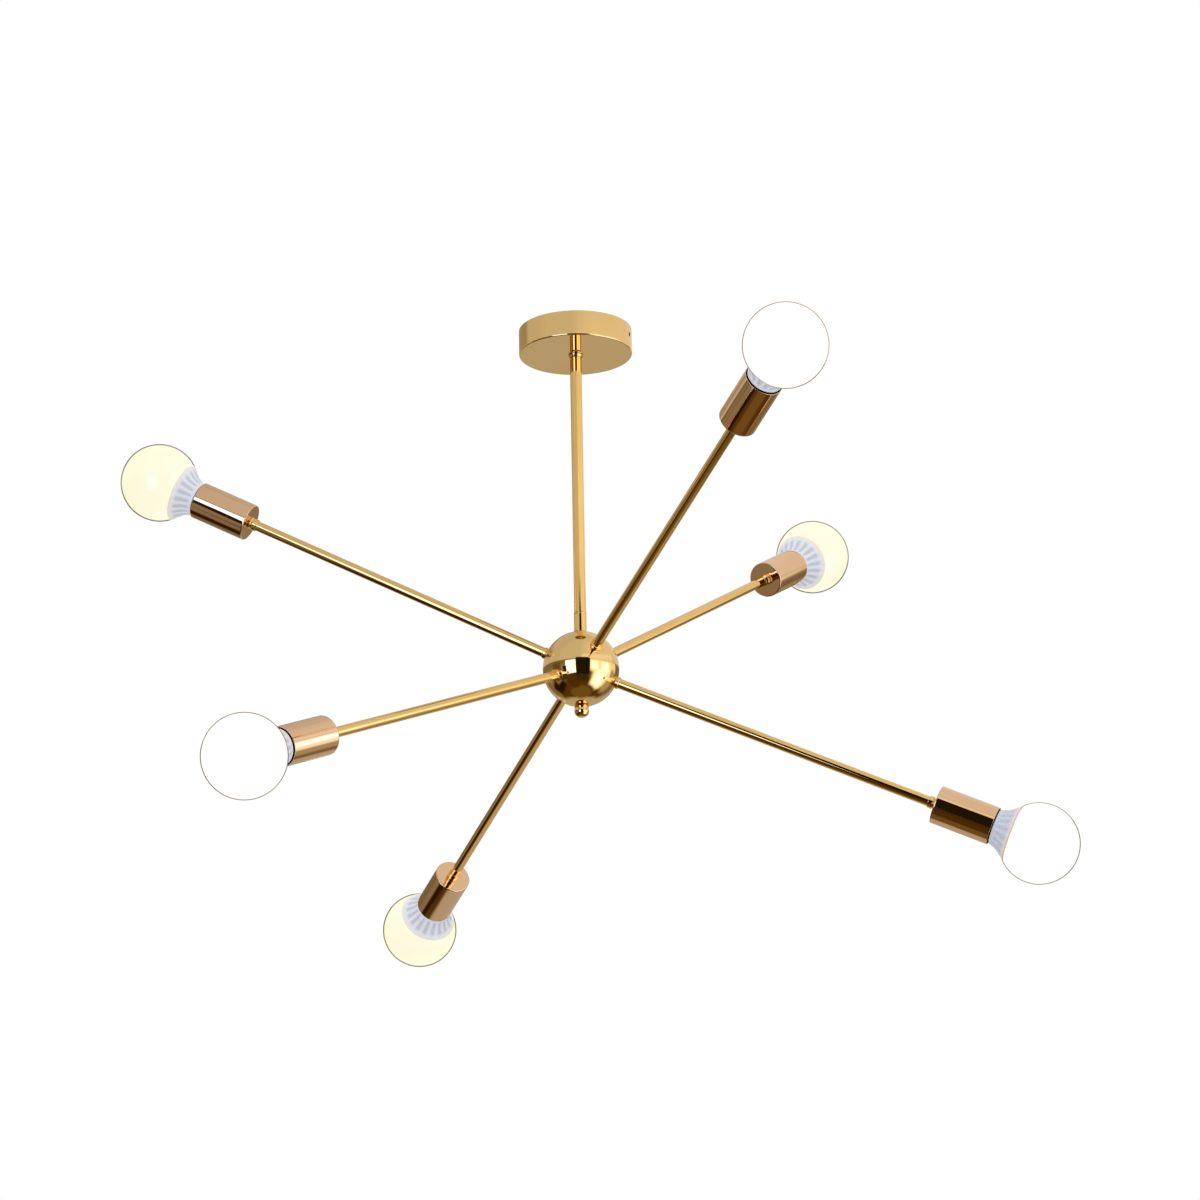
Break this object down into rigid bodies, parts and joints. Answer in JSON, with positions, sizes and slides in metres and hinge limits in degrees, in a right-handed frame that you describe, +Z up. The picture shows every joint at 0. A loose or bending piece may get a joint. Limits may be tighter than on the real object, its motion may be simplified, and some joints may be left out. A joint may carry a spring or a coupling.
{
  "type": "multi arm chandelier",
  "caption": "Gold ceiling chandelier with straight lamp arms spreading from a ball hub, each ending in a socket cup with an opal globe bulb.",
  "frame": {"origin": "middle of the ceiling bracket's top face, where it meets the ceiling", "axes": "+Z up, out of the ceiling face; +X along the bracket, through the two canopy screws"},
  "size_m": [0.9468, 0.9008, 0.6035],
  "materials": {
    "polished_gold": "mirror-polished gold plate on steel",
    "rose_gold": "polished rose gold plate on steel",
    "zinc_steel": "zinc-plated pressed steel",
    "dark_steel": "blackened steel grub screw",
    "raw_brass": "plain turned brass",
    "nickel": "nickel-plated bulb cap",
    "opal_glass": "lit opal glass, smooth and gently glossy",
    "white_plastic": "white moulded plastic with fine cooling ribs",
    "black_plastic": "black moulded lampholder plastic",
    "grey_plastic": "pale grey insulation"
  },
  "bodies": {
    "fixture": {"ceiling_bracket": "zinc_steel", "canopy_shell": "polished_gold", "canopy_screw_1": "dark_steel", "canopy_screw_2": "dark_steel", "terminal_block": "grey_plastic", "earth_screw": "raw_brass", "canopy_locknut": "raw_brass", "lock_washer": "zinc_steel", "stem_flange": "polished_gold", "stem_tube": "polished_gold", "stem_coupler": "zinc_steel", "stem_sleeve": "polished_gold", "feed_cable": "grey_plastic", "hub_upper_shell": "polished_gold", "hub_lower_shell": "polished_gold", "hub_spindle": "zinc_steel", "finial_nut": "polished_gold", "wire_connector": "black_plastic", "arm_tube_1": "polished_gold", "socket_collar_1": "rose_gold", "socket_cup_1": "rose_gold", "lampholder_1": "black_plastic", "arm_tube_2": "polished_gold", "socket_collar_2": "rose_gold", "socket_cup_2": "rose_gold", "lampholder_2": "black_plastic", "arm_tube_3": "polished_gold", "socket_collar_3": "rose_gold", "socket_cup_3": "rose_gold", "lampholder_3": "black_plastic", "arm_tube_4": "polished_gold", "socket_collar_4": "rose_gold", "socket_cup_4": "rose_gold", "lampholder_4": "black_plastic", "arm_tube_5": "polished_gold", "socket_collar_5": "rose_gold", "socket_cup_5": "rose_gold", "lampholder_5": "black_plastic", "arm_tube_6": "polished_gold", "socket_collar_6": "rose_gold", "socket_cup_6": "rose_gold", "lampholder_6": "black_plastic"},
    "bulb_1": {"bulb_cap_1": "nickel", "bulb_neck_1": "white_plastic", "bulb_globe_1": "opal_glass"},
    "bulb_2": {"bulb_cap_2": "nickel", "bulb_neck_2": "white_plastic", "bulb_globe_2": "opal_glass"},
    "bulb_3": {"bulb_cap_3": "nickel", "bulb_neck_3": "white_plastic", "bulb_globe_3": "opal_glass"},
    "bulb_4": {"bulb_cap_4": "nickel", "bulb_neck_4": "white_plastic", "bulb_globe_4": "opal_glass"},
    "bulb_5": {"bulb_cap_5": "nickel", "bulb_neck_5": "white_plastic", "bulb_globe_5": "opal_glass"},
    "bulb_6": {"bulb_cap_6": "nickel", "bulb_neck_6": "white_plastic", "bulb_globe_6": "opal_glass"}
  },
  "joints": [
    {"name": "bulb_1_unscrew", "type": "hinge", "parent": "fixture", "child": "bulb_1", "pos_m": [0.43884, 0.07975, -0.56345], "axis": [0.8974, 0.1631, -0.4099], "range_deg": [0, 990]},
    {"name": "bulb_2_unscrew", "type": "hinge", "parent": "fixture", "child": "bulb_2", "pos_m": [0.14452, 0.40812, -0.13569], "axis": [0.2955, 0.8346, 0.4648], "range_deg": [0, 990]},
    {"name": "bulb_3_unscrew", "type": "hinge", "parent": "fixture", "child": "bulb_3", "pos_m": [-0.29622, 0.35052, -0.53185], "axis": [-0.6058, 0.7168, -0.3453], "range_deg": [0, 990]},
    {"name": "bulb_4_unscrew", "type": "hinge", "parent": "fixture", "child": "bulb_4", "pos_m": [-0.42832, -0.07321, -0.13872], "axis": [-0.8759, -0.1497, 0.4586], "range_deg": [0, 990]},
    {"name": "bulb_5_unscrew", "type": "hinge", "parent": "fixture", "child": "bulb_5", "pos_m": [-0.1934, -0.41286, -0.53983], "axis": [-0.3955, -0.8443, -0.3616], "range_deg": [0, 990]},
    {"name": "bulb_6_unscrew", "type": "hinge", "parent": "fixture", "child": "bulb_6", "pos_m": [0.30375, -0.33617, -0.17903], "axis": [0.6212, -0.6875, 0.3762], "range_deg": [0, 990]}
  ]
}
